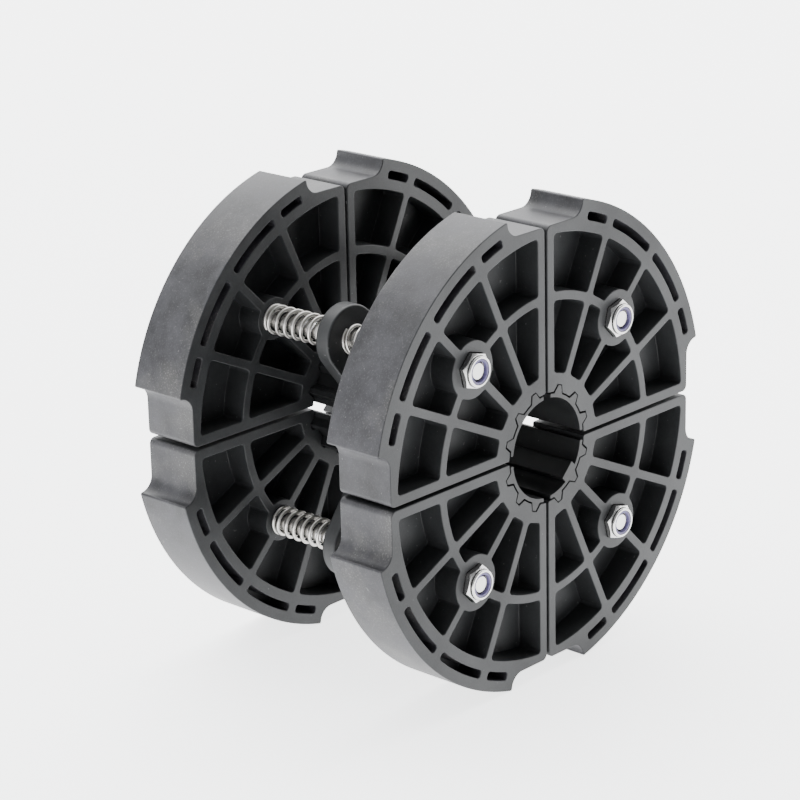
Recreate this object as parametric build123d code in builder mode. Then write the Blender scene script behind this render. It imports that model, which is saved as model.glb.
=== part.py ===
"""Segmented coupling between a keyed shaft and a winding tube.

Two thick ribbed discs are each split into four segments. Four long tie bolts hold the
discs to a centre plate, with a compression spring on each side of the plate, so every
segment can be pushed inwards along its bolt. Four quarter shells line the bore, and one
of them carries the key.

Frame: +Y along the bore, the lock nuts on the -Y side, +Z up. Millimetres.
The origin is on the bore's axis, halfway along the coupling.
"""

import os
from math import acos, asin, cos, degrees, radians, sin, sqrt

from build123d import *

# --- driving dimensions ------------------------------------------------------------
disc_r = 97.0  # outer radius of the discs
disc_t = 26.0  # thickness of one disc
disc_space = 78.0  # clear space between the two discs
gap = 1.4  # slit between neighbouring segments
bolt_circle_r = 60.0
bore_r = 20.0
key_w = 8.0
key_h = 3.0

# rim of a segment: a notch straddles each slit and takes a rib of the tube
hook_deg = 13.0  # angle of the hook tips from the slit
notch_floor = 88.2  # distance of the notch's flat floor from the axis
notch_fillet_r = 6.0
rim_corner_r = 2.5
rim_slot_r = (89.0, 92.4)  # inner and outer radius of the curved slots
rim_slot_deg = ((16.0, 23.6), (26.5, 43.5))

# ribs and cells of a segment
rib_deg = 25.0  # first rib from a slit; the second one is at 45
rib_t = 3.5
edge_wall_t = 4.0  # wall along each slit
ring_r = (58.2, 61.8)  # inner and outer radius of the middle ring
rim_wall_r = 84.5  # inside of the rim
hub_flat_r = 29.8  # where the cells end at the hub
cell_corner_r = 1.6
pocket_depth = 11.0  # from either face, which leaves a web in the middle
edge_break = 0.4

# bosses round the bolts
front_boss_r = 11.3
spring_boss_r = 8.6
bolt_hole_r = 4.3
hex_recess_depth = 4.2
hex_recess_af = 13.4
hex_turn = 15.0  # puts two flats square to the segment's line of symmetry

# quarter shells and their teeth
shell_t = 1.6
shell_end_gap = 2.0  # from the slit's middle to the shell's edge
tooth_deg = (18.0, 45.0, 72.0)
tooth_tip_r = 24.8
tooth_base_w = 4.8
tooth_tip_w = 2.0
hub_inner_r = 22.2
tooth_play = 0.35  # all round a tooth in its notch
core_turn = 0.5  # degrees that the shells rest turned clockwise within that play

# centre plate
plate_t = 7.0
plate_ring_r = 30.0
plate_eye_r = 13.5
plate_web_r = 20.4  # the webs taper from the eyes to this circle
plate_edge_break = 0.8

# M8 fasteners
bolt_r = 3.95
hex_af = 13.0
head_h = 5.3
nut_h = 8.0
nut_hex_h = 6.4
nut_collar_r = 6.1
nut_bore_r = 4.02
bolt_end_below_nut = 1.2
insert_r = 5.0
insert_h = 1.7

# springs
spring_r = 5.6  # mean radius of the coils
wire_r = 0.6
spring_pitch = 4.5

# --- worked out from the above -----------------------------------------------------
inner_face = disc_space / 2  # distance of a disc's inner face from the middle
outer_face = inner_face + disc_t
shell_r = bore_r + shell_t
half_gap = gap / 2
seat = outer_face - hex_recess_depth  # where the nut and the bolt head sit
bolt_xy = bolt_circle_r / sqrt(2)
spring_len = inner_face - plate_t / 2

diagonal = Plane(origin=(0, 0, 0), z_dir=(1, -1, 0))  # a segment's plane of symmetry

# quarter names by their turn about the bore, seen from the nut side
quarters = {"upper_right": 0, "upper_left": 90, "lower_left": 180, "lower_right": 270}


def polar(r, deg):
    """A point of the disc's plane."""
    return (r * cos(radians(deg)), r * sin(radians(deg)))


def face_plane(y):
    """The plane across the bore at y, its normal towards the nut side."""
    return Plane.XZ.offset(-y)


def cell(a0, d0, a1, d1, r0, r1, corner_r, flat_inside=False):
    """A pocket's outline between two ribs, d0 and d1 from their middle lines."""
    start = (a0 + degrees(asin(d0 / r0)), a0 + degrees(asin(d0 / r1)))
    stop = (a1 - degrees(asin(d1 / r0)), a1 - degrees(asin(d1 / r1)))
    with BuildSketch(mode=Mode.PRIVATE) as outline:
        with BuildLine():
            Line(polar(r0, start[0]), polar(r1, start[1]))
            ThreePointArc(
                polar(r1, start[1]), polar(r1, (start[1] + stop[1]) / 2), polar(r1, stop[1])
            )
            Line(polar(r1, stop[1]), polar(r0, stop[0]))
            if flat_inside:
                Line(polar(r0, stop[0]), polar(r0, start[0]))
            else:
                ThreePointArc(
                    polar(r0, stop[0]), polar(r0, (start[0] + stop[0]) / 2), polar(r0, start[0])
                )
        make_face()
        fillet(outline.vertices(), corner_r)
    return outline.sketch


def teeth(play, r_base, turn=0):
    """The three trapezoids of a quarter: teeth, or their notches with some play."""
    tip_w = tooth_tip_w / 2 + play
    base_w = tooth_base_w / 2 + play
    corners = [
        (r_base, -base_w),
        (tooth_tip_r + play, -tip_w),
        (tooth_tip_r + play, tip_w),
        (r_base, base_w),
    ]
    for deg in tooth_deg:
        with Locations(Location((0, 0, 0), (0, 0, turn + deg))):
            Polygon(*corners, align=None, mode=Mode.SUBTRACT if play else Mode.ADD)


def rim_outline():
    """One segment's outline, symmetric about its 45 degree line."""
    tip = polar(disc_r, hook_deg)
    fillet_x = notch_floor + notch_fillet_r
    to_tip = acos((fillet_x - tip[0]) / notch_fillet_r)
    fillet_z = tip[1] - notch_fillet_r * sin(to_tip)
    middle = (
        fillet_x - notch_fillet_r * cos(to_tip / 2),
        fillet_z + notch_fillet_r * sin(to_tip / 2),
    )
    hub_deg = degrees(asin(half_gap / hub_inner_r))
    with BuildLine() as line:
        CenterArc((0, 0), hub_inner_r, hub_deg, 45 - hub_deg)
        Line(polar(hub_inner_r, hub_deg), (notch_floor - rim_corner_r, half_gap))
        JernArc((notch_floor - rim_corner_r, half_gap), (1, 0), rim_corner_r, 90)
        Line((notch_floor, half_gap + rim_corner_r), (notch_floor, fillet_z))
        ThreePointArc((notch_floor, fillet_z), middle, tip)
        CenterArc((0, 0), disc_r, hook_deg, 45 - hook_deg)
        mirror(about=diagonal)
    return line.line


def pockets(boss_r):
    """All the pockets of one face, with the boss left standing."""
    ribs = [(0.0, half_gap + edge_wall_t), (rib_deg, rib_t / 2), (45.0, rib_t / 2)]
    for (a0, d0), (a1, d1) in zip(ribs, ribs[1:]):
        add(cell(a0, d0, a1, d1, ring_r[1], rim_wall_r, cell_corner_r))
        add(cell(a0, d0, a1, d1, hub_flat_r, ring_r[0], cell_corner_r, flat_inside=True))
    for a0, a1 in rim_slot_deg:
        add(cell(a0, 0, a1, 0, *rim_slot_r, 1.0))
    with Locations((bolt_xy, bolt_xy)):
        Circle(boss_r, mode=Mode.SUBTRACT)
    mirror(about=diagonal)


def disc_segment():
    """The upper right segment of the nut-side disc."""
    with BuildPart() as segment:
        with BuildSketch(face_plane(-inner_face)):
            add(rim_outline())
            make_face()
            teeth(tooth_play, hub_inner_r - 1.0)
        extrude(amount=disc_t)
        for y, depth, boss_r in (
            (-outer_face, -pocket_depth, front_boss_r),
            (-inner_face, pocket_depth, spring_boss_r),
        ):
            with BuildSketch(face_plane(y)):
                pockets(boss_r)
            extrude(amount=depth, mode=Mode.SUBTRACT)
        ends = segment.faces().filter_by(Axis.Y).sort_by(Axis.Y)
        rims = ends[0].outer_wire().edges() + ends[-1].outer_wire().edges()
        chamfer(rims, edge_break)
        with BuildSketch(face_plane(-outer_face)):
            with Locations((bolt_xy, bolt_xy)):
                RegularPolygon(hex_recess_af / 2, 6, major_radius=False, rotation=hex_turn)
        extrude(amount=-hex_recess_depth, mode=Mode.SUBTRACT)
        with BuildSketch(face_plane(-inner_face)):
            with Locations((bolt_xy, bolt_xy)):
                Circle(bolt_hole_r)
        extrude(amount=disc_t, mode=Mode.SUBTRACT)
    return segment.part


def quarter_shell(keyed):
    """The upper right quarter of the bore's lining, its teeth outwards."""
    with BuildPart() as shell:
        with BuildSketch(face_plane(outer_face)):
            Circle(shell_r)
            teeth(0, bore_r + shell_t / 2)
            Circle(bore_r, mode=Mode.SUBTRACT)
            with Locations((shell_end_gap, shell_end_gap)):
                Rectangle(disc_r, disc_r, align=(Align.MIN, Align.MIN), mode=Mode.INTERSECT)
            if keyed:
                with Locations(Location((0, 0, 0), (0, 0, 45))):
                    Polygon(
                        (bore_r - key_h, -key_w / 2),
                        (bore_r + shell_t / 2, -key_w / 2),
                        (bore_r + shell_t / 2, key_w / 2),
                        (bore_r - key_h, key_w / 2),
                        align=None,
                    )
        extrude(amount=2 * outer_face)
        chamfer(
            shell.faces().filter_by(Axis.Y).edges().filter_by(GeomType.CIRCLE), edge_break / 2
        )
    return shell.part


def turned_hexagon(y, height, both_ends):
    """A hexagon's prism from y towards the nut side, its outer corners turned off."""
    corner_r = hex_af / 2 / cos(radians(30))
    with BuildPart() as turned:
        with BuildSketch(face_plane(y)):
            with Locations((bolt_xy, bolt_xy)):
                Circle(corner_r + 0.01)
        extrude(amount=height)
        ends = turned.edges().filter_by(GeomType.CIRCLE).sort_by(Axis.Y)
        chamfer(ends if both_ends else ends[0], (corner_r - hex_af / 2) * 0.6, corner_r - hex_af / 2)
        with BuildSketch(face_plane(y)):
            with Locations((bolt_xy, bolt_xy)):
                RegularPolygon(hex_af / 2, 6, major_radius=False, rotation=hex_turn)
        extrude(amount=height, mode=Mode.INTERSECT)
    return turned.part


def bolt_round(y, height, radius, inner=0.0):
    """A round about the bolt's axis, from y towards the nut side."""
    with BuildPart() as round_part:
        with BuildSketch(face_plane(y)):
            with Locations((bolt_xy, bolt_xy)):
                Circle(radius)
                if inner:
                    Circle(inner, mode=Mode.SUBTRACT)
        extrude(amount=height)
    return round_part.part


def bolt():
    """The upper right tie bolt, its head in the rear segment's recess."""
    tip = -seat - nut_h + bolt_end_below_nut
    with BuildPart() as tie_bolt:
        add(bolt_round(seat, seat - tip, bolt_r))
        chamfer(tie_bolt.edges().filter_by(GeomType.CIRCLE).sort_by(Axis.Y)[0], 0.8)
        head = turned_hexagon(seat + head_h, head_h, both_ends=False)
        add(head.mirror(face_plane(seat + head_h / 2)))
    return tie_bolt.part


def nut():
    """The upper right lock nut: a hexagon with a round collar for the nylon ring."""
    with BuildPart() as lock_nut:
        add(turned_hexagon(-seat, nut_hex_h, both_ends=True))
        add(bolt_round(-seat - nut_hex_h, nut_h - nut_hex_h, nut_collar_r))
        fillet(lock_nut.edges().filter_by(GeomType.CIRCLE).sort_by(Axis.Y)[0], 0.9)
        add(bolt_round(-seat, nut_h, nut_bore_r), mode=Mode.SUBTRACT)
        add(bolt_round(-seat - nut_h + insert_h, insert_h, insert_r), mode=Mode.SUBTRACT)
    return lock_nut.part


def spring():
    """The upper right spring of the nut side, from the plate to the segment."""
    turns = spring_len / spring_pitch
    with BuildPart() as coil:
        with BuildLine() as path:
            Helix(
                spring_pitch,
                spring_len + 2 * spring_pitch,
                spring_r,
                center=(bolt_xy, -plate_t / 2 + spring_pitch, bolt_xy),
                direction=(0, -1, 0),
            )
        with BuildSketch(path.line ^ 0):
            Circle(wire_r)
        sweep(is_frenet=True)
        with BuildSketch(face_plane(-plate_t / 2)):
            with Locations((bolt_xy, bolt_xy)):
                Circle(2 * spring_r)
        extrude(amount=spring_len, mode=Mode.INTERSECT)
    return coil.part


# --- centre plate ------------------------------------------------------------------
with BuildPart() as centre_plate:
    with BuildSketch(face_plane(plate_t / 2)):
        for turn in quarters.values():
            eye = polar(bolt_circle_r, turn + 45)
            with BuildSketch(mode=Mode.PRIVATE) as web:
                Circle(plate_web_r)
                with Locations(eye):
                    Circle(plate_eye_r)
                make_hull()
            add(web.sketch)
        Circle(plate_ring_r)
        fillet([v for v in vertices() if Vector(v).length < plate_ring_r + 5], 4.0)
        Circle(hub_inner_r, mode=Mode.SUBTRACT)
        for turn in quarters.values():
            teeth(tooth_play, hub_inner_r - 1.0, turn)
        with PolarLocations(bolt_circle_r, 4, start_angle=45):
            Circle(bolt_r + 0.15, mode=Mode.SUBTRACT)
    extrude(amount=plate_t)
    rounds = centre_plate.faces().filter_by(Axis.Y).edges().filter_by(GeomType.CIRCLE)
    eye_rims = rounds.filter_by(lambda edge: abs(edge.radius - plate_eye_r) < 0.01)
    chamfer(eye_rims, plate_edge_break)

finished = {"centre_plate": centre_plate.part}

# --- the quarters ------------------------------------------------------------------
segment_blank = disc_segment()
bolt_blank = bolt()
nut_blank = nut()
insert_blank = bolt_round(
    -seat - nut_h + insert_h, insert_h - 0.25, insert_r - 0.02, inner=nut_bore_r - 0.03
)
spring_blank = spring()

for quarter, turn in quarters.items():
    spin = Rotation(0, -turn, 0)

    with BuildPart() as front_segment:
        add(spin * segment_blank)
    finished[f"front_segment_{quarter}"] = front_segment.part

    with BuildPart() as rear_segment:
        add(mirror(spin * segment_blank, about=Plane.XZ, mode=Mode.PRIVATE))
    finished[f"rear_segment_{quarter}"] = rear_segment.part

    with BuildPart() as core_shell:
        add(Rotation(0, core_turn - turn, 0) * quarter_shell(keyed=quarter == "lower_right"))
    finished[f"core_shell_{quarter}"] = core_shell.part

    with BuildPart() as tie_bolt:
        add(spin * bolt_blank)
    finished[f"tie_bolt_{quarter}"] = tie_bolt.part

    with BuildPart() as lock_nut:
        add(spin * nut_blank)
    finished[f"lock_nut_{quarter}"] = lock_nut.part

    with BuildPart() as nylon_ring:
        add(spin * insert_blank)
    finished[f"nylon_ring_{quarter}"] = nylon_ring.part

    with BuildPart() as front_spring:
        add(spin * spring_blank)
    finished[f"front_spring_{quarter}"] = front_spring.part

    with BuildPart() as rear_spring:
        add(mirror(spin * spring_blank, about=Plane.XZ, mode=Mode.PRIVATE))
    finished[f"rear_spring_{quarter}"] = rear_spring.part

os.makedirs("parts", exist_ok=True)
for name, part in finished.items():
    part.label = name
    export_step(part, f"parts/{name}.step")
    print(name, round(part.volume), part.is_valid)
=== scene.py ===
"""The looks of a segmented shaft coupling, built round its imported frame.

Shapes are worked out in millimetres for the upper right quarter of the nut side, seen from
the nuts with +X to the right and +Z up. They are then turned about the bore (the Y axis) to
the other quarters, and mirrored to the head side. Meshes are in metres.
"""

import math
from collections import namedtuple

import bpy
import numpy as np
from mathutils import Matrix, Vector
from mathutils.geometry import delaunay_2d_cdt


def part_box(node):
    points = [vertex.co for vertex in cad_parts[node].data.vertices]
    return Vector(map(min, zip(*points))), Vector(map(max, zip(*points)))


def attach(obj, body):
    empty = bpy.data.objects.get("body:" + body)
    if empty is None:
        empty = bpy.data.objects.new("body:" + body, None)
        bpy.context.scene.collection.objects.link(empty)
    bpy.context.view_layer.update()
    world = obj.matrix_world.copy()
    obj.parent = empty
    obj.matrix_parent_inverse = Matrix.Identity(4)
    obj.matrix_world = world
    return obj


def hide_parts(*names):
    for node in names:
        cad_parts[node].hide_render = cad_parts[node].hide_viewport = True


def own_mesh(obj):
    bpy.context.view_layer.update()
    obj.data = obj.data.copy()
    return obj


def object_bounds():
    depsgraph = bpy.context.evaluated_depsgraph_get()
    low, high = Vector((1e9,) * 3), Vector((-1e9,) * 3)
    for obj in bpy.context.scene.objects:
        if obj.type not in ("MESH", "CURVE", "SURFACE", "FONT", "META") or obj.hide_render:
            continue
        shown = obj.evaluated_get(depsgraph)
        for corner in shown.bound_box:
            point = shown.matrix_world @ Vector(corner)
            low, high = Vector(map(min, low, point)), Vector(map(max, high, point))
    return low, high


MM = 0.001

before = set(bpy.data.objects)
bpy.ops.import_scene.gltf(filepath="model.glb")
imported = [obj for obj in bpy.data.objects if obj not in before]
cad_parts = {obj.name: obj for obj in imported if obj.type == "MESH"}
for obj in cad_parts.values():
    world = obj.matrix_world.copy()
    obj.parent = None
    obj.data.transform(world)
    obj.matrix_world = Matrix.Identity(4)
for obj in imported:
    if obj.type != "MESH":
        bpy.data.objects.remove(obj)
cad_low, cad_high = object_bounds()


def box_mm(node):
    """A CAD node's lowest and highest corner in millimetres."""
    low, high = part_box(node)
    return low / MM, high / MM


# --- sizes read from the frame -----------------------------------------------------
segment_low, segment_high = box_mm("front_segment_upper_right")
nut_low, nut_high = box_mm("lock_nut_upper_right")
outer_face = -segment_low.y
inner_face = -segment_high.y
bolt_at = np.array([nut_low.x + nut_high.x, nut_low.z + nut_high.z]) / 2
nut_seat = nut_high.y
nut_top = nut_low.y
bolt_tip = box_mm("tie_bolt_upper_right")[0].y
head_top = box_mm("tie_bolt_upper_right")[1].y
plate_face = box_mm("centre_plate")[1].y
ring_low, ring_high = box_mm("nylon_ring_upper_right")
bolt_circle_r = float(np.hypot(*bolt_at))

# --- sizes as in the CAD source, but for the springs' wire -------------------------
disc_r = 97.0
half_gap = 0.7
hook_deg = 13.0
notch_floor = 88.2
notch_fillet_r = 6.0
rim_corner_r = 2.5
rim_slot_r = (89.0, 92.4)
rim_slot_deg = ((16.0, 23.6), (26.5, 43.5))
rib_deg = 25.0
rib_t = 3.5
edge_wall_t = 4.0
ring_r = (58.2, 61.8)
rim_wall_r = 84.5
hub_flat_r = 29.8
cell_corner_r = 1.6
pocket_depth = 11.0
front_boss_r = 11.3
spring_boss_r = 8.6
bolt_hole_r = 4.3
hex_recess_depth = 4.2
hex_recess_af = 13.4
bore_r = 20.0
shell_t = 1.6
shell_end_gap = 2.0
tooth_deg = (18.0, 45.0, 72.0)
tooth_tip_r = 24.8
tooth_base_w = 4.8
tooth_tip_w = 2.0
tooth_play = 0.35
core_turn = 0.5
hub_inner_r = 22.2
key_w = 8.0
key_h = 3.0
plate_ring_r = 30.0
plate_eye_r = 13.5
plate_web_r = 20.4
plate_fillet_r = 4.0
bolt_r = 3.95
hex_af = 13.0
head_h = 5.3
nut_collar_r = 6.1
nut_bore_r = 4.02
insert_r = 5.0
insert_h = 1.7
spring_r = 5.48  # thicker wire than the solid's, with the same outside
wire_r = 0.72
spring_pitch = 4.5

# --- rounding that the moulded parts have ------------------------------------------
rim_edge_r = 0.4  # outer edges of a segment's faces
hub_edge_r = 0.2  # the same edges at the hub
pocket_edge_r = 0.35
pocket_floor_r = 0.3
recess_edge_r = 0.25
recess_floor_r = 0.2
recess_hole_edge_r = 0.2  # the bolt hole's edge in the hexagon recess
spring_hole_edge_r = 0.3  # its edge under the spring
plate_edge_r = 1.0
shell_edge_r = 0.2
hole_edge_r = 0.2  # edges of the plate's holes
sharp_r = 0.3  # smallest corner in any outline
hook_corner_r = 0.8
hub_corner_r = 0.6
boss_corner_r = 0.9
rim_slot_corner_r = 1.25
recess_corner_r = 0.5
key_corner_r = 0.5
plate_hole_play = 0.15

# --- fineness of the outlines ------------------------------------------------------
chord_error = 0.008  # how far an arc's chords may leave it
smallest_arc_r = 0.02  # an arc below this radius gets no more chords
same_point = 1e-4
arc_rows = 4  # rows of points on a rounded edge or foot
fill_tolerance = 1e-6

quarters = {"upper_right": 0, "upper_left": 90, "lower_left": 180, "lower_right": 270}


# --- outlines ----------------------------------------------------------------------
def polar(r, deg):
    """A point of the disc's plane."""
    return np.array([math.cos(math.radians(deg)), math.sin(math.radians(deg))]) * r


def beside(r, deg, aside):
    """The point at radius r along deg, then aside from that ray, anticlockwise positive."""
    return polar(r, deg) + polar(aside, deg + 90)


class Line:
    """A straight side; the enclosed area is on its left."""

    def __init__(self, start, end):
        self.start = np.asarray(start, float)
        run = np.asarray(end, float) - self.start
        self.along = run / np.linalg.norm(run)
        self.left = np.array([-self.along[1], self.along[0]])

    def moved(self, inset):
        """The same side, further into the enclosed area."""
        start = self.start + inset * self.left
        return Line(start, start + self.along)

    def foot(self, point):
        return self.start + self.along * ((point - self.start) @ self.along)

    def heading(self, point):
        return self.along

    def samples(self, a, b):
        """Points and outward normals from a to b."""
        return [(a, -self.left), (b, -self.left)]


class Round:
    """A side on a circle: turn is 1 with the enclosed area inside it, -1 outside it."""

    def __init__(self, centre, radius, turn):
        self.centre = np.asarray(centre, float)
        self.radius = radius
        self.turn = turn

    def moved(self, inset):
        return Round(self.centre, self.radius - self.turn * inset, self.turn)

    def foot(self, point):
        out = point - self.centre
        return self.centre + out * (self.radius / np.linalg.norm(out))

    def heading(self, point):
        out = (point - self.centre) / np.linalg.norm(point - self.centre)
        return np.array([-out[1], out[0]]) * self.turn

    def samples(self, a, b):
        start = math.atan2(*(a - self.centre)[::-1])
        sweep = math.atan2(*(b - self.centre)[::-1]) - start
        sweep = sweep * self.turn % math.tau * self.turn
        step = 2 * math.acos(1 - chord_error / max(self.radius, smallest_arc_r))
        count = max(2, math.ceil(abs(sweep) / step))
        found = []
        for i in range(count + 1):
            out = polar(1, math.degrees(start + sweep * i / count))
            found.append((self.centre + self.radius * out, out * self.turn))
        return found


def crossing(one, two, near):
    """Where two sides cross, the crossing nearest to a given point."""
    if isinstance(one, Round) and isinstance(two, Line):
        one, two = two, one
    if isinstance(two, Line):
        across = np.array([one.along, -two.along]).T
        return one.start + one.along * np.linalg.solve(across, two.start - one.start)[0]
    if isinstance(one, Line):
        middle = one.foot(two.centre)
        half = two.radius**2 - np.sum((middle - two.centre) ** 2)
        along = one.along * math.sqrt(max(half, 0.0))
    else:
        link = two.centre - one.centre
        apart = np.linalg.norm(link)
        reach = (apart**2 + one.radius**2 - two.radius**2) / (2 * apart)
        middle = one.centre + link * (reach / apart)
        half = math.sqrt(max(one.radius**2 - reach**2, 0.0))
        along = np.array([-link[1], link[0]]) * (half / apart)
    return min(middle + along, middle - along, key=lambda p: np.linalg.norm(p - near))


class Outline:
    """A closed anticlockwise outline: its points and outward normals."""

    def __init__(self, points, normals):
        self.points = np.array(points)
        self.normals = np.array(normals)

    @classmethod
    def of(cls, sides, corners):
        """From sides and, for each side's end, a point near its corner and a radius.

        A radius of 0 says that the two sides touch smoothly at that very point.
        """
        joints = []
        for i, (near, radius) in enumerate(corners):
            one, two = sides[i], sides[(i + 1) % len(sides)]
            near = np.asarray(near, float)
            if not radius:
                joints.append((near, near, []))
                continue
            at = crossing(one, two, near)
            first, second = one.heading(at), two.heading(at)
            bend = 1 if first[0] * second[1] - first[1] * second[0] > 0 else -1
            centre = crossing(one.moved(bend * radius), two.moved(bend * radius), near)
            a, b = one.foot(centre), two.foot(centre)
            joints.append((a, b, Round(centre, radius, bend).samples(a, b)))
        points, normals = [], []
        for i, side in enumerate(sides):
            rounded = joints[i][2]
            for point, normal in side.samples(joints[i - 1][1], joints[i][0]) + rounded:
                if points and np.linalg.norm(point - points[-1]) < same_point:
                    continue
                points.append(point)
                normals.append(normal)
        if np.linalg.norm(points[0] - points[-1]) < same_point:
            points.pop()
            normals.pop()
        return cls(points, normals)

    @classmethod
    def circle(cls, centre, radius):
        start = np.asarray(centre, float) + [radius, 0]
        hair_before_it = start - [0, 1e-6]
        samples = Round(centre, radius, 1).samples(start, hair_before_it)[:-1]
        return cls([p for p, _ in samples], [n for _, n in samples])

    @classmethod
    def hexagon(cls, centre, across_flats, corner_r, first_deg):
        flats, near = [], []
        for i in range(6):
            a, b = (polar(across_flats / math.sqrt(3), first_deg + 60 * (i + k)) for k in (0, 1))
            flats.append(Line(centre + a, centre + b))
            near.append((centre + b, corner_r))
        return cls.of(flats, near)

    def mirrored(self):
        """The outline on the other side of the 45 degree line."""
        return Outline(self.points[::-1, ::-1], self.normals[::-1, ::-1])


def toothed(sides, corners, tau, r_base, play, turn):
    """Adds one trapezoid to an outline that runs along the circle r_base."""
    base = tooth_base_w / 2 + play
    tip = tooth_tip_w / 2 + play
    tip_r = tooth_tip_r + play
    ends = [beside(r_base, tau, -turn * base), beside(tip_r, tau, -turn * tip)]
    ends += [beside(tip_r, tau, turn * tip), beside(r_base, tau, turn * base)]
    corners[-1] = (ends[0], sharp_r)
    sides += [Line(a, b) for a, b in zip(ends, ends[1:])]
    corners += [(end, sharp_r) for end in ends[1:]]
    sides.append(Round((0, 0), r_base, turn))
    corners.append(None)


def segment_outline():
    """One segment's outline, from its lower slit wall anticlockwise."""
    tip = polar(disc_r, hook_deg)
    hook_x = notch_floor + notch_fillet_r
    drop = math.sqrt(notch_fillet_r**2 - (hook_x - tip[0]) ** 2)
    hook = np.array([hook_x, tip[1] - drop])
    touch = np.array([notch_floor, hook[1]])
    hub = math.sqrt(hub_inner_r**2 - half_gap**2)
    sides = [
        Line((hub, half_gap), (notch_floor, half_gap)),
        Line((notch_floor, half_gap), touch),
        Round(hook, notch_fillet_r, -1),
        Round((0, 0), disc_r, 1),
        Round(hook[::-1], notch_fillet_r, -1),
        Line(touch[::-1], (half_gap, notch_floor)),
        Line((half_gap, notch_floor), (half_gap, hub)),
        Round((0, 0), hub_inner_r, -1),
    ]
    corners = [
        ((notch_floor, half_gap), rim_corner_r),
        (touch, 0),
        (tip, hook_corner_r),
        (tip[::-1], hook_corner_r),
        (touch[::-1], 0),
        ((half_gap, notch_floor), rim_corner_r),
        ((half_gap, hub), hub_corner_r),
        None,
    ]
    for tau in reversed(tooth_deg):
        toothed(sides, corners, tau, hub_inner_r, tooth_play, -1)
    corners[-1] = ((hub, half_gap), hub_corner_r)
    return Outline.of(sides, corners)


def cell(a0, d0, a1, d1, r0, r1, boss_r=0.0):
    """A pocket between two ribs and two radii, cut back to a boss on its last rib."""
    flat_inside = r0 == hub_flat_r
    sides = [Line(beside(r0, a0, d0), beside(r1, a0, d0)), Round((0, 0), r1, 1)]
    corners = [(beside(r1, a0, d0), cell_corner_r)]
    outer, inner = beside(r1, a1, -d1), beside(r0, a1, -d1)
    inward = Line(outer, inner)
    boss_aside = math.degrees(boss_r / bolt_circle_r)
    boss = Round(bolt_at, boss_r, -1)
    if boss_r and not flat_inside:
        corners += [(outer, cell_corner_r)]
        corners += [(beside(bolt_circle_r + boss_r, a1, -d1), boss_corner_r)]
        corners += [(polar(r0, a1 - boss_aside), boss_corner_r)]
        sides += [inward, boss]
    elif boss_r:
        corners += [(polar(r1, a1 - boss_aside), boss_corner_r)]
        corners += [(beside(bolt_circle_r - boss_r, a1, -d1), boss_corner_r)]
        corners += [(inner, cell_corner_r)]
        sides += [boss, inward]
    else:
        corners += [(outer, cell_corner_r), (inner, cell_corner_r)]
        sides += [inward]
    start = beside(r0, a0, d0)
    if flat_inside:
        last = beside(math.sqrt(r0**2 - d1**2), a1, -d1)
        first = beside(math.sqrt(r0**2 - d0**2), a0, d0)
        sides.append(Line(last, first))
    else:
        sides.append(Round((0, 0), r0, -1))
    corners.append((start, cell_corner_r))
    return Outline.of(sides, corners)


def slot(a0, a1):
    """A curved slot in the rim."""
    r0, r1 = rim_slot_r
    ends = [polar(r0, a0), polar(r1, a0), polar(r1, a1), polar(r0, a1)]
    sides = [Line(ends[0], ends[1]), Round((0, 0), r1, 1)]
    sides += [Line(ends[2], ends[3]), Round((0, 0), r0, -1)]
    return Outline.of(sides, [(p, rim_slot_corner_r) for p in ends[1:] + ends[:1]])


def pockets(boss_r):
    """Every pocket of one face of a segment."""
    ribs = [(0.0, half_gap + edge_wall_t), (rib_deg, rib_t / 2), (45.0, rib_t / 2)]
    found = []
    for (a0, d0), (a1, d1) in zip(ribs, ribs[1:]):
        boss = boss_r if a1 == 45.0 else 0.0
        found.append(cell(a0, d0, a1, d1, ring_r[1], rim_wall_r, boss))
        found.append(cell(a0, d0, a1, d1, hub_flat_r, ring_r[0], boss))
    found += [slot(a0, a1) for a0, a1 in rim_slot_deg]
    return found + [outline.mirrored() for outline in found]


def shell_outline(keyed):
    """A quarter shell's section, its teeth outwards."""
    outer_r = bore_r + shell_t
    ends = [(math.sqrt(r * r - shell_end_gap**2), shell_end_gap) for r in (outer_r, bore_r)]
    sides = [Line(ends[1], ends[0]), Round((0, 0), outer_r, 1)]
    corners = [(ends[0], sharp_r), None]
    for tau in tooth_deg:
        toothed(sides, corners, tau, outer_r, 0.0, 1)
    corners[-1] = (ends[0][::-1], sharp_r)
    sides += [Line(ends[0][::-1], ends[1][::-1]), Round((0, 0), bore_r, -1)]
    corners += [(ends[1][::-1], sharp_r), None]
    if keyed:
        root = math.sqrt(bore_r**2 - (key_w / 2) ** 2)
        key = [beside(root, 45, key_w / 2), beside(bore_r - key_h, 45, key_w / 2)]
        key += [beside(bore_r - key_h, 45, -key_w / 2), beside(root, 45, -key_w / 2)]
        corners[-1] = (key[0], sharp_r)
        sides += [Line(a, b) for a, b in zip(key, key[1:])] + [Round((0, 0), bore_r, -1)]
        corners += [(key[1], key_corner_r), (key[2], key_corner_r), (key[3], sharp_r), None]
    corners[-1] = (ends[1], sharp_r)
    return Outline.of(sides, corners)


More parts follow.
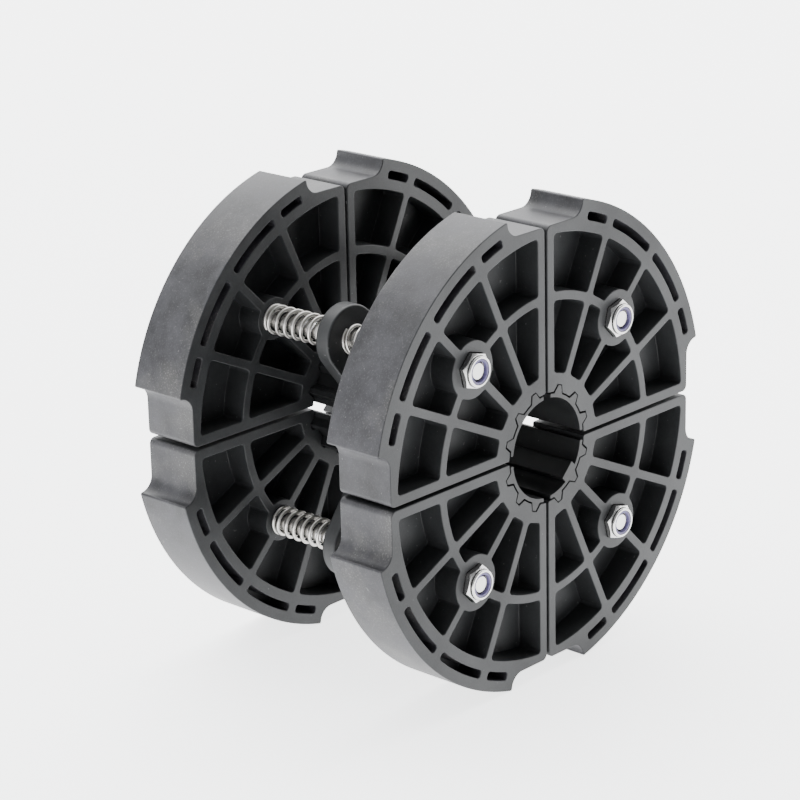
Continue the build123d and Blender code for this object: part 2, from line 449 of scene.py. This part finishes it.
def plate_outline():
    """The centre plate: a ring with four eyes on tapering webs."""
    lean = math.degrees(math.acos((plate_web_r - plate_eye_r) / bolt_circle_r))
    sides, corners = [], []
    for turn in quarters.values():
        out = turn + 45
        eye = polar(bolt_circle_r, out)
        right = Line(polar(plate_web_r, out - lean), eye + polar(plate_eye_r, out - lean))
        left = Line(eye + polar(plate_eye_r, out + lean), polar(plate_web_r, out + lean))
        near = [crossing(s, Round((0, 0), plate_ring_r, 1), eye) for s in (right, left)]
        sides += [right, Round(eye, plate_eye_r, 1), left, Round((0, 0), plate_ring_r, 1)]
        corners += [(eye + polar(plate_eye_r, out - lean), 0)]
        corners += [(eye + polar(plate_eye_r, out + lean), 0)]
        corners += [(near[1], plate_fillet_r), near[0]]
    starts = corners[3::4]
    for i in range(4):
        corners[4 * i + 3] = (starts[(i + 1) % 4], plate_fillet_r)
    return Outline.of(sides, corners)


def plate_bore():
    """The toothed hole in the centre plate."""
    sides, corners = [Round((0, 0), hub_inner_r, 1)], [None]
    for turn in quarters.values():
        for tau in tooth_deg:
            toothed(sides, corners, turn + tau, hub_inner_r, tooth_play, 1)
    sides.pop()
    sides.append(sides.pop(0))
    corners.append(corners.pop(0))
    corners.pop(-2)
    return Outline.of(sides, corners)


# --- skins: rings of points joined by bands and filled at their ends ---------------
def edge_rows(face, into, radius, side):
    """A rounded edge from a face down a wall: shift, y, and the normal's two shares.

    into is the direction from the face into the material, side is 1 on an outline's
    outside wall and -1 in a hole. The radius may differ from point to point.
    """
    rows = []
    for i in range(arc_rows + 1):
        angle = math.pi / 2 * i / arc_rows
        shift = -side * radius * (1 - math.sin(angle))
        y = face + into * radius * (1 - math.cos(angle))
        rows.append((shift, y, side * math.sin(angle), -into * math.cos(angle)))
    return rows


def floor_rows(floor, into, radius):
    """The rounded foot of a pocket's wall, out onto its floor."""
    rows = []
    for i in range(arc_rows + 1):
        angle = math.pi / 2 * i / arc_rows
        y = floor - into * radius * (1 - math.sin(angle))
        shift = -radius * (1 - math.cos(angle))
        rows.append((shift, y, -math.cos(angle), -into * math.sin(angle)))
    return rows


class Skin:
    """The points, normals and faces of one closed piece, in millimetres."""

    def __init__(self):
        self.points, self.normals, self.faces = [], [], []
        self.count = 0

    def ring(self, outline, row):
        shift, y, across, along = row
        flat = outline.points + np.reshape(shift, (-1, 1)) * outline.normals
        depth = np.full(len(flat), y)
        self.points.append(np.column_stack([flat[:, 0], depth, flat[:, 1]]))
        side = across * outline.normals
        self.normals.append(np.column_stack([side[:, 0], np.full(len(flat), along), side[:, 1]]))
        self.count += len(flat)
        return np.arange(self.count - len(flat), self.count)

    def wall(self, outline, rows):
        """Rings down an outline, joined; gives the first and the last ring."""
        rings = [self.ring(outline, row) for row in rows]
        for one, two in zip(rings, rings[1:]):
            self.faces += np.column_stack(
                [one, two, np.roll(two, -1), np.roll(one, -1)]
            ).tolist()
        return rings[0], rings[-1]

    def fill(self, *rings):
        """A flat face inside the first ring, less the areas of the others."""
        everything = np.concatenate(self.points)
        index = np.concatenate(rings)
        flat = [Vector(everything[i][[0, 2]]) for i in index]
        ends = np.cumsum([0] + [len(r) for r in rings])
        loops = [list(range(a, b)) for a, b in zip(ends, ends[1:])]
        _, _, triangles, source, _, _ = delaunay_2d_cdt(flat, [], loops, 2, fill_tolerance)
        for triangle in triangles:
            self.faces.append([int(index[source[k][0]]) for k in triangle])

    def mesh(self, name, turn=0.0, mirrored=False):
        """The piece's mesh in metres, turned about the bore, mirrored to the head side."""
        points, normals = np.concatenate(self.points), np.concatenate(self.normals)
        c, s = math.cos(math.radians(turn)), math.sin(math.radians(turn))
        spin = np.array([[c, 0, -s], [0, -1.0 if mirrored else 1.0, 0], [s, 0, c]])
        points, normals = points @ spin.T, normals @ spin.T
        faces = []
        for face in self.faces:
            a, b, d = points[face[0]], points[face[1]], points[face[-1]]
            facing = np.cross(b - a, d - a) @ normals[face].sum(0)
            faces.append(face if facing > 0 else face[::-1])
        made = bpy.data.meshes.new(name)
        made.from_pydata((points * MM).tolist(), [], faces)
        made.polygons.foreach_set("use_smooth", [True] * len(faces))
        made.normals_split_custom_set_from_vertices(normals.tolist())
        return made


def segment_skin():
    """A segment of the nut side's disc: ribbed on both faces, with its hexagon recess."""
    skin = Skin()
    near, far = -outer_face, -inner_face
    outside = segment_outline()
    from_axis = np.linalg.norm(outside.points, axis=1)
    edge_r = np.interp(from_axis, (hub_flat_r, ring_r[0]), (hub_edge_r, rim_edge_r))
    rim = edge_rows(near, 1, edge_r, 1) + edge_rows(far, -1, edge_r, 1)[::-1]
    rings = {near: [], far: []}
    first, last = skin.wall(outside, rim)
    rings[near].append(first)
    rings[far].append(last)
    for face, into, boss_r in ((near, 1, front_boss_r), (far, -1, spring_boss_r)):
        floor = face + into * pocket_depth
        rows = edge_rows(face, into, pocket_edge_r, -1) + floor_rows(floor, into, pocket_floor_r)
        for outline in pockets(boss_r):
            mouth, foot = skin.wall(outline, rows)
            rings[face].append(mouth)
            skin.fill(foot)
    recess = Outline.hexagon(bolt_at, hex_recess_af, recess_corner_r, hex_turn)
    seat = near + hex_recess_depth
    rows = edge_rows(near, 1, recess_edge_r, -1) + floor_rows(seat, 1, recess_floor_r)
    mouth, foot = skin.wall(recess, rows)
    rings[near].append(mouth)
    hole = Outline.circle(bolt_at, bolt_hole_r)
    rows = edge_rows(seat, 1, recess_hole_edge_r, -1)
    rows += edge_rows(far, -1, spring_hole_edge_r, -1)[::-1]
    top, bottom = skin.wall(hole, rows)
    skin.fill(foot, top)
    rings[far].append(bottom)
    skin.fill(*rings[near])
    skin.fill(*rings[far])
    return skin


def slab_skin(outline, low, high, edge_r, holes=()):
    """A plate or bar of one section between low and high, with holes right through."""
    skin = Skin()
    rows = edge_rows(low, 1, edge_r, 1) + edge_rows(high, -1, edge_r, 1)[::-1]
    ends = [skin.wall(outline, rows)]
    rows = edge_rows(low, 1, hole_edge_r, -1) + edge_rows(high, -1, hole_edge_r, -1)[::-1]
    ends += [skin.wall(hole, rows) for hole in holes]
    skin.fill(*(first for first, _ in ends))
    skin.fill(*(last for _, last in ends))
    return skin


# --- turned metal parts ------------------------------------------------------------
hex_turn = 15.0  # direction of one corner of the upper right hexagons
nut_columns = 144  # points round a part, always with some on the hexagon's corners
bolt_columns = 72
corner_r = hex_af / math.sqrt(3)
smooth_deg = 28  # facets of nuts and bolts that meet at less than this look rounded
ring_smooth_deg = 40
wire_smooth_deg = 50
flat_share = 0.95  # round flat of a hexagon's end, as a share of its flats' distance

nut_collar_h = 1.6
nut_lip_r = 0.6
nut_groove_r = 0.35
nut_bore_chamfer = 0.4
nut_foot_fall = 0.72  # how far back the corners are at the nut's foot
nut_crown_fall = 0.6  # and under its collar
insert_edge_r = 0.12
ring_play = 0.02
ring_outer_edge_r = 0.25
ring_inner_edge_r = 0.3

thread_pitch = 1.25
thread_depth = 0.62
thread_len = 22.0
thread_rows = 8  # rows of points in one pitch
groove_half_w = 0.3125  # half a thread groove's width at the crest, in pitches
groove_slope = 4.0
tip_chamfer = 0.9
neck_fillet_r = 0.3
washer_share = 0.97  # washer face, as a share of the flats' distance
washer_h = 0.25
head_crown_fall = 0.75
head_edge_r = 0.3

spring_end_lift = 0.15  # how far the wire's middle starts above the ground end
spring_closed_turns = 1.0
spring_per_turn = 48
wire_sides = 12
spring_start_angle = 0.6
pitch_blend = 15  # points over which the pitch changes
pitch_kept = 12  # points at each end that stay as they are


def placed_mesh(name, points, faces, turn, sharp_deg):
    """A mesh about the bolt's axis, given as if that axis were the Y axis."""
    c, s = math.cos(math.radians(turn)), math.sin(math.radians(turn))
    points = points + [bolt_at[0], 0.0, bolt_at[1]]
    points = points @ np.array([[c, 0, -s], [0, 1, 0], [s, 0, c]]).T
    made = bpy.data.meshes.new(name)
    made.from_pydata((points * MM).tolist(), [], faces)
    made.polygons.foreach_set("use_smooth", [True] * len(faces))
    made.set_sharp_from_angle(angle=math.radians(sharp_deg))
    return made


def grid_faces(rows, columns, closed=False):
    """Quads between rows of points; each row is a ring, closed joins last to first."""
    index = np.arange(rows * columns).reshape(rows, columns)
    if closed:
        index = np.vstack([index, index[:1]])
    one, two = index[:-1], index[1:]
    quads = np.stack([one, np.roll(one, -1, 1), np.roll(two, -1, 1), two], -1)
    return quads.reshape(-1, 4).tolist()


def around(columns):
    return np.arange(columns) * math.tau / columns


def turned(profile, columns):
    """The points of a profile of (radius, y) spun about the Y axis.

    Either may be one value or a value for every column. The profile runs with the
    material on its left, towards the axis.
    """
    angles = around(columns)
    rings = []
    for r, y in profile:
        ring = np.broadcast_arrays(r * np.cos(angles), y, r * np.sin(angles))
        rings.append(np.column_stack(ring))
    return np.concatenate(rings)


def crown(inner_r, inner_y, corner_y, columns, steps=4):
    """A hexagon's end with its corners turned off, from a circle out to the flats."""
    off = (np.degrees(around(columns)) - hex_turn) % 60 - 30
    reach = hex_af / 2 / np.cos(np.radians(off)) - inner_r
    slope = (corner_y - inner_y) / (corner_r - inner_r)
    rows = [reach * i / steps for i in range(steps + 1)]
    return [(inner_r + out, inner_y + out * slope) for out in rows]


def arc_points(centre, radius, start_deg, end_deg, steps=5):
    """(radius, y) points of an arc in a profile."""
    found = []
    for i in range(steps + 1):
        angle = math.radians(start_deg + (end_deg - start_deg) * i / steps)
        found.append((centre[0] + radius * math.cos(angle), centre[1] + radius * math.sin(angle)))
    return found


def nut_mesh(name, turn):
    """A lock nut with its round collar; the nylon ring is a piece of its own."""
    foot_r = hex_af / 2 * flat_share
    hex_top = nut_top + nut_collar_h
    groove_at = (nut_collar_r + nut_groove_r, hex_top - nut_groove_r)
    lip_at = (nut_collar_r - nut_lip_r, nut_top + nut_lip_r)
    insert_edge_at = (insert_r + insert_edge_r, nut_top + insert_edge_r)
    profile = [(nut_bore_r, nut_top + insert_h), (nut_bore_r, nut_seat - nut_bore_chamfer)]
    profile += [(nut_bore_r + nut_bore_chamfer, nut_seat)]
    profile += crown(foot_r, nut_seat, nut_seat - nut_foot_fall, nut_columns)
    profile += crown(groove_at[0], hex_top, hex_top + nut_crown_fall, nut_columns)[::-1]
    profile += arc_points(groove_at, nut_groove_r, 90, 180)[1:]
    profile += arc_points(lip_at, nut_lip_r, 0, -90, 8)
    profile += arc_points(insert_edge_at, insert_edge_r, -90, -180, 3)
    profile += [(insert_r, nut_top + insert_h)]
    faces = grid_faces(len(profile), nut_columns, closed=True)
    return placed_mesh(name, turned(profile, nut_columns), faces, turn, smooth_deg)


def ring_mesh(name, turn):
    """The nylon ring, its two upper edges rounded."""
    inner = nut_bore_r - ring_play
    outer = insert_r - ring_play
    top, foot = ring_low.y, ring_high.y
    outer_edge_at = (outer - ring_outer_edge_r, top + ring_outer_edge_r)
    inner_edge_at = (inner + ring_inner_edge_r, top + ring_inner_edge_r)
    profile = [(outer, foot), (outer, inner_edge_at[1])]
    profile += arc_points(outer_edge_at, ring_outer_edge_r, 0, -90, 4)
    profile += arc_points(inner_edge_at, ring_inner_edge_r, -90, -180, 4)
    profile += [(inner, foot)]
    faces = grid_faces(len(profile), bolt_columns, closed=True)
    return placed_mesh(name, turned(profile, bolt_columns), faces, turn, ring_smooth_deg)


def bolt_mesh(name, turn):
    """A tie bolt: threaded tip, plain shank and hexagon head."""
    profile = []
    for y in np.arange(0.0, thread_len, thread_pitch / thread_rows):
        phase = (y / thread_pitch + around(bolt_columns) / math.tau) % 1.0
        cut = np.clip((groove_half_w - np.abs(phase - 0.5)) * groove_slope, 0.0, 1.0)
        fade = min(1.0, (thread_len - y) / (2 * thread_pitch))
        r = bolt_r - thread_depth * cut * fade
        profile.append((np.minimum(r, bolt_r - tip_chamfer + y), bolt_tip + y))
    seat = head_top - head_h
    washer_r = hex_af / 2 * washer_share
    washer_top = seat + washer_h
    top_r = hex_af / 2 * flat_share
    neck_at = (bolt_r + neck_fillet_r, seat - neck_fillet_r)
    profile += [(bolt_r, bolt_tip + thread_len), (bolt_r, seat - neck_fillet_r)]
    profile += arc_points(neck_at, neck_fillet_r, 180, 90)[1:]
    profile += [(washer_r, seat), (washer_r, washer_top)]
    profile += crown(washer_r, washer_top, washer_top, bolt_columns, 1)[1:]
    profile += crown(top_r, head_top, head_top - head_crown_fall, bolt_columns)[::-1]
    profile += arc_points((top_r - head_edge_r, head_top - head_edge_r), head_edge_r, 60, 90, 2)[1:]
    faces = grid_faces(len(profile), bolt_columns)
    faces.append(list(range(bolt_columns))[::-1])
    faces.append([(len(profile) - 1) * bolt_columns + k for k in range(bolt_columns)])
    return placed_mesh(name, turned(profile, bolt_columns), faces, turn, smooth_deg)


def spring_mesh(name, turn, sign):
    """A compression spring from the plate to the disc, its end coils closed and ground."""
    length = inner_face - plate_face
    lift, closed_turns = spring_end_lift, spring_closed_turns
    closed_h = lift + closed_turns * 2 * wire_r
    active_turns = round((length - 2 * closed_h) / spring_pitch * 4) / 4
    turns = active_turns + 2 * closed_turns
    count = int(turns * spring_per_turn) + 1
    t = np.linspace(0, turns, count)
    knots = [0, closed_turns, turns - closed_turns, turns]
    y = np.interp(t, knots, [lift, closed_h, length - closed_h, length - lift])
    window = np.hanning(pitch_blend) / np.hanning(pitch_blend).sum()
    middle = slice(pitch_kept, -pitch_kept)
    y[middle] = np.convolve(y, window, mode="same")[middle]
    angle = t * math.tau + spring_start_angle
    out = np.column_stack([np.cos(angle), np.zeros(count), np.sin(angle)])
    centre = spring_r * out + np.column_stack([np.zeros(count), y, np.zeros(count)])
    along = np.gradient(centre, axis=0)
    along /= np.linalg.norm(along, axis=1)[:, None]
    up = np.cross(along, out)
    lines = [centre + wire_r * (math.cos(a) * out + math.sin(a) * up) for a in around(wire_sides)]
    points = np.stack(lines, 1).reshape(-1, 3)
    points[:, 1] = sign * (np.clip(points[:, 1], 0.0, length) + plate_face)
    faces = grid_faces(count, wire_sides)
    faces.append(list(range(wire_sides))[::-1])
    faces.append([(count - 1) * wire_sides + k for k in range(wire_sides)])
    if sign < 0:
        faces = [face[::-1] for face in faces]
    return placed_mesh(name, points, faces, turn, wire_smooth_deg)


# --- materials ---------------------------------------------------------------------
def add_node(tree, kind, inputs=None, **settings):
    """A node with its settings, its inputs given as values or as other nodes' outputs."""
    made = tree.nodes.new(kind)
    for key, value in settings.items():
        setattr(made, key, value)
    for key, value in (inputs or {}).items():
        if isinstance(value, bpy.types.NodeSocket):
            tree.links.new(value, made.inputs[key])
        else:
            made.inputs[key].default_value = value
    return made


def new_material(name, **shader_values):
    """A material with its shader's plain values; gives it with its tree and shader."""
    material = bpy.data.materials.new(name)
    material.use_nodes = True
    shader = material.node_tree.nodes["Principled BSDF"]
    for key, value in shader_values.items():
        shader.inputs[key.replace("_", " ")].default_value = value
    return material, material.node_tree, shader


def remap(tree, value, low, high, to_low=0.0, to_high=1.0):
    """A value stretched from one range to another, held at its ends."""
    values = {"Value": value, "From Min": low, "From Max": high}
    values |= {"To Min": to_low, "To Max": to_high}
    return add_node(tree, "ShaderNodeMapRange", values).outputs[0]


def noise(tree, size_mm, detail=2.0, roughness=0.5):
    """Noise with features of about one size, from 0 to 1."""
    place = add_node(tree, "ShaderNodeTexCoord").outputs["Object"]
    values = {"Vector": place, "Scale": 1000.0 / size_mm, "Detail": detail}
    values["Roughness"] = roughness
    return add_node(tree, "ShaderNodeTexNoise", values).outputs[0]


Pattern = namedtuple("Pattern", "size_mm detail roughness low high")


def patterned(tree, pattern, to_low=0.0, to_high=1.0):
    """A pattern's noise, the part of it between low and high stretched to a new range."""
    raw = noise(tree, pattern.size_mm, pattern.detail, pattern.roughness)
    return remap(tree, raw, pattern.low, pattern.high, to_low, to_high)


def maths(tree, operation, a, b):
    made = add_node(tree, "ShaderNodeMath", {0: a, 1: b}, operation=operation)
    return made.outputs[0]


def product(tree, a, b):
    return maths(tree, "MULTIPLY", a, b)


def total(tree, a, b):
    return maths(tree, "ADD", a, b)


def blended(tree, share, a, b):
    """A colour between two colours."""
    made = add_node(tree, "ShaderNodeMix", data_type="RGBA")
    for socket, value in zip((made.inputs[0], made.inputs[6], made.inputs[7]), (share, a, b)):
        if isinstance(value, bpy.types.NodeSocket):
            tree.links.new(value, socket)
        else:
            socket.default_value = value
    return made.outputs[2]


def bumped(tree, shader, height, strength, distance_mm):
    """Raises a shader's surface by a height from 0 to 1."""
    values = {"Height": height, "Strength": strength, "Distance": distance_mm * MM}
    raised = add_node(tree, "ShaderNodeBump", values)
    tree.links.new(raised.outputs[0], shader.inputs["Normal"])


def grey(level, tint=(1.0, 1.0, 1.0)):
    return (level * tint[0], level * tint[1], level * tint[2], 1.0)


cool = (0.94, 0.99, 1.05)
violet = (1.0, 0.985, 1.15)
warm = (1.03, 1.0, 0.95)

cloud_pattern = Pattern(48.0, 3.0, 0.55, 0.33, 0.67)
patch_pattern = Pattern(13.0, 5.0, 0.65, 0.3, 0.7)
rub_pattern = Pattern(30.0, 5.0, 0.62, 0.5, 0.68)
chalk_pattern = Pattern(0.7, 2.0, 0.6, 0.56, 0.66)
dust_pattern = Pattern(1.3, 1.0, 0.4, 0.76, 0.79)
steel_mottle_pattern = Pattern(2.6, 2.0, 0.5, 0.3, 0.7)
wax_pattern = Pattern(1.2, 2.0, 0.5, 0.3, 0.7)

rim_side_starts_m = 0.0865  # distance from the axis where the outside's look starts
rim_side_full_m = 0.0872
face_facing, wall_facing = 0.9, 0.5  # the normal's share along the bore
plain_grain, full_grain = 0.4, 0.7  # the part of the grain's noise that lightens the skin
cloud_weight, patch_weight, grain_weight = 0.4, 0.3, 0.3  # in a moulded part's grey
cloud_gloss_weight, patch_gloss_weight = 0.6, 0.4
least_gloss, most_gloss = 0.38, 0.6
dull_from, shiny_to = 0.1, 0.9  # polish that gives the least and the most gloss
wear_spread = 0.06  # of the roughness, to each side
rub_cover, chalk_cover, dust_cover = 0.6, 0.55, 0.5
unrubbed_chalk = 0.25
chalk_grey, dust_grey = 0.16, 0.14
wall_dark, wall_light, rubbed_light = 0.8, 1.25, 2.0  # the outside's greys to the plain ones
face_grain = 0.35  # coarse grain's height on all but the outside
mottled_dark_share = 0.86  # a steel's darkest colour to its plain one
less_rough, more_rough = 0.03, 0.05  # a steel's roughness round its mean


def moulded_nylon(name, dark, light, rough, grain_mm):
    """Glass-filled nylon: cloudy grey skin, and coarser, rubbed walls on the outside."""
    material, tree, shader = new_material(name, IOR=1.42)
    place = add_node(tree, "ShaderNodeTexCoord")
    flatten = {0: place.outputs["Object"], 1: (1, 0, 1)}
    across = add_node(tree, "ShaderNodeVectorMath", flatten, operation="MULTIPLY").outputs[0]
    from_axis = add_node(tree, "ShaderNodeVectorMath", {0: across}, operation="LENGTH").outputs[1]
    facing = add_node(tree, "ShaderNodeSeparateXYZ", {0: place.outputs["Normal"]}).outputs["Y"]
    wall = remap(tree, maths(tree, "ABSOLUTE", facing, 0.0), face_facing, wall_facing)
    far_out = remap(tree, from_axis, rim_side_starts_m, rim_side_full_m)
    outside = product(tree, wall, far_out)

    clouds = patterned(tree, cloud_pattern)
    patches = patterned(tree, patch_pattern)
    grain = noise(tree, size_mm=0.9, detail=3.0, roughness=0.7)
    fine = noise(tree, size_mm=0.4, detail=2.0, roughness=0.6)
    share = product(tree, clouds, cloud_weight)
    share = total(tree, share, product(tree, patches, patch_weight))
    light_grain = remap(tree, grain, plain_grain, full_grain, 0.0, grain_weight)
    share = total(tree, share, light_grain)
    plain = blended(tree, share, grey(dark, cool), grey(light, cool))

    rubbed = patterned(tree, rub_pattern)
    chalk = patterned(tree, chalk_pattern)
    chalk = product(tree, chalk, remap(tree, rubbed, 0.0, 1.0, unrubbed_chalk, 1.0))
    darkest, lightest = grey(dark * wall_dark, violet), grey(light * wall_light, violet)
    walls = blended(tree, patches, darkest, lightest)
    walls = blended(tree, product(tree, rubbed, rub_cover), walls, grey(light * rubbed_light, warm))
    walls = blended(tree, product(tree, chalk, chalk_cover), walls, grey(chalk_grey))
    colour = blended(tree, outside, plain, walls)
    dust = patterned(tree, dust_pattern, 0.0, dust_cover)
    colour = blended(tree, dust, colour, grey(dust_grey))
    tree.links.new(colour, shader.inputs["Base Color"])

    polish = product(tree, clouds, cloud_gloss_weight)
    polish = total(tree, polish, product(tree, patches, patch_gloss_weight))
    shine = remap(tree, polish, dull_from, shiny_to, least_gloss, most_gloss)
    tree.links.new(shine, shader.inputs["Specular IOR Level"])
    wear = remap(tree, patches, 0.0, 1.0, rough - wear_spread, rough + wear_spread)
    tree.links.new(wear, shader.inputs["Roughness"])
    coarse = product(tree, grain, remap(tree, outside, 0.0, 1.0, face_grain, 1.0))
    bumped(tree, shader, total(tree, coarse, fine), strength=0.5, distance_mm=grain_mm)
    return material


def polished_steel(name, colour, rough, tint):
    """Bright steel, its colour and roughness a little uneven in random patches."""
    material, tree, shader = new_material(name, Metallic=1.0)
    # random patches: where the pattern is low the colour is darker and the roughness lower
    mottle = patterned(tree, steel_mottle_pattern)
    mixed = blended(tree, mottle, grey(colour * mottled_dark_share, tint), grey(colour, tint))
    tree.links.new(mixed, shader.inputs["Base Color"])
    uneven = remap(tree, mottle, 0.0, 1.0, rough - less_rough, rough + more_rough)
    tree.links.new(uneven, shader.inputs["Roughness"])
    return material


def violet_nylon(name):
    """The lock nuts' ring: waxy, slightly translucent violet nylon."""
    values = {"Roughness": 0.4, "IOR": 1.45, "Subsurface_Weight": 0.1, "Subsurface_Scale": 0.0008}
    material, tree, shader = new_material(name, **values)
    deep, pale = (0.085, 0.072, 0.165, 1.0), (0.14, 0.12, 0.25, 1.0)
    colour = blended(tree, patterned(tree, wax_pattern), deep, pale)
    tree.links.new(colour, shader.inputs["Base Color"])
    bumped(tree, shader, noise(tree, size_mm=0.4), strength=0.2, distance_mm=0.02)
    return material


looks = {
    "segment_nylon": moulded_nylon("moulded_grey", 0.011, 0.030, rough=0.46, grain_mm=0.07),
    # the shells' nylon is partly its own near-black grey and partly painted shade: darkened further
    # to stand in for the shade inside the bore
    "shell_nylon": moulded_nylon("moulded_black_and_painted_bore_shade", 0.006, 0.013, rough=0.42, grain_mm=0.04),
    "plate_nylon": moulded_nylon("moulded_dark_grey", 0.010, 0.026, rough=0.44, grain_mm=0.05),
    "stainless": polished_steel("polished_stainless", 0.64, rough=0.2, tint=(1.0, 0.99, 0.975)),
    "spring_steel": polished_steel("drawn_wire", 0.6, rough=0.3, tint=(1.0, 0.97, 0.92)),
    "ring_nylon": violet_nylon("violet_nylon"),
}


# --- pieces ------------------------------------------------------------------------
def show(node, mesh, body, slot_name):
    """Puts a mesh in the scene in the place of a CAD node."""
    made = bpy.data.objects.new(f"{node}_skin", mesh)
    bpy.context.scene.collection.objects.link(made)
    mesh.materials.append(looks[slot_name])
    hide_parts(node)
    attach(made, body)
    return made


plate_holes = [plate_bore()]
for turn in quarters.values():
    eye = polar(bolt_circle_r, turn + 45)
    plate_holes.append(Outline.circle(eye, bolt_r + plate_hole_play))
plate = slab_skin(plate_outline(), -plate_face, plate_face, plate_edge_r, plate_holes)
show("centre_plate", plate.mesh("centre_plate"), "hub", "plate_nylon")

segment = segment_skin()
plain_shell = slab_skin(shell_outline(False), -outer_face, outer_face, shell_edge_r)
keyed_shell = slab_skin(shell_outline(True), -outer_face, outer_face, shell_edge_r)

for quarter, turn in quarters.items():
    for side, sign in (("front", -1), ("rear", 1)):
        node = f"{side}_segment_{quarter}"
        mesh = segment.mesh(node, turn, mirrored=side == "rear")
        show(node, mesh, f"{side}_{quarter}", "segment_nylon")

        node = f"{side}_spring_{quarter}"
        spring = show(node, spring_mesh(node, turn, sign), "hub", "spring_steel")
        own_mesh(spring)

    node = f"core_shell_{quarter}"
    shell = keyed_shell if quarter == "lower_right" else plain_shell
    show(node, shell.mesh(node, turn - core_turn), "hub", "shell_nylon")
    for node, mesh_of, slot_name in (
        (f"tie_bolt_{quarter}", bolt_mesh, "stainless"),
        (f"lock_nut_{quarter}", nut_mesh, "stainless"),
        (f"nylon_ring_{quarter}", ring_mesh, "ring_nylon"),
    ):
        show(node, mesh_of(node, turn), "hub", slot_name)


# --- floor, light and camera -------------------------------------------------------
floor_glow_y = (-0.75, -0.2)  # the floor's glow grows between these, away from the camera
floor_glow = (0.6, 2.6)
sky_y = (-0.45, 0.25)  # the surroundings' light grows between these, of a direction's Y


def pale_floor(half_width):
    """A wide pale sheet that the coupling stands on."""
    mesh = bpy.data.meshes.new("floor")
    near, far, z = -half_width, half_width, cad_low.z
    corners = [(near, near, z), (far, near, z), (far, far, z), (near, far, z)]
    mesh.from_pydata(corners, [], [(0, 1, 2, 3)])
    made = bpy.data.objects.new("floor", mesh)
    bpy.context.scene.collection.objects.link(made)
    glow_colour = (0.985, 0.995, 1.0, 1.0)
    material, tree, shader = new_material("floor_white", Roughness=0.7, Emission_Color=glow_colour)
    place = add_node(tree, "ShaderNodeTexCoord").outputs["Object"]
    behind = add_node(tree, "ShaderNodeSeparateXYZ", {0: place}).outputs["Y"]
    glow = remap(tree, behind, *floor_glow_y, *floor_glow)
    tree.links.new(glow, shader.inputs["Emission Strength"])
    tone = blended(tree, noise(tree, size_mm=400.0), grey(0.86), grey(0.9))
    tree.links.new(tone, shader.inputs["Base Color"])
    mesh.materials.append(material)


def softbox(name, place, aim, width, height, watts):
    """A rectangular area light at place, pointed at aim."""
    light = bpy.data.lights.new(name, "AREA")
    light.shape = "RECTANGLE"
    light.size, light.size_y = width, height
    light.energy = watts
    made = bpy.data.objects.new(name, light)
    made.location = place
    made.rotation_euler = (Vector(aim) - Vector(place)).to_track_quat("-Z", "Y").to_euler()
    bpy.context.scene.collection.objects.link(made)


def camera(place, aim, roll_deg, lens_mm):
    """The camera, looking from place at aim."""
    data = bpy.data.cameras.new("camera")
    data.lens = lens_mm
    data.clip_start, data.clip_end = 0.01, 50.0
    made = bpy.data.objects.new("camera", data)
    look = (Vector(aim) - Vector(place)).to_track_quat("-Z", "Y").to_matrix().to_4x4()
    turn = Matrix.Rotation(math.radians(roll_deg), 4, "Z")
    made.matrix_world = Matrix.Translation(place) @ look @ turn
    bpy.context.scene.collection.objects.link(made)
    bpy.context.scene.camera = made


def studio(front, back):
    """Surroundings that go from dim in front of the nuts to bright behind the coupling."""
    world = bpy.data.worlds.new("studio")
    world.use_nodes = True
    tree = world.node_tree
    towards = add_node(tree, "ShaderNodeTexCoord").outputs["Generated"]
    along = add_node(tree, "ShaderNodeSeparateXYZ", {0: towards}).outputs["Y"]
    strength = remap(tree, along, *sky_y, front, back)
    background = tree.nodes["Background"]
    background.inputs[0].default_value = (0.97, 0.985, 1.0, 1.0)
    tree.links.new(strength, background.inputs[1])
    bpy.context.scene.world = world


pale_floor(half_width=8.0)
studio(front=0.38, back=2.3)
softbox("top", place=(1.6, 1.5, 2.5), aim=(0.5, 0.5, 0), width=5.0, height=5.0, watts=300)
softbox("right", place=(1.5, -0.7, 0.5), aim=(0, 0, 0), width=1.0, height=1.2, watts=14)
camera_place = (-0.7882, -0.7269, 0.3674)
camera_aim = (-0.00469, 0.00763, 0.00536)
camera(camera_place, camera_aim, roll_deg=-1.31, lens_mm=127.6)
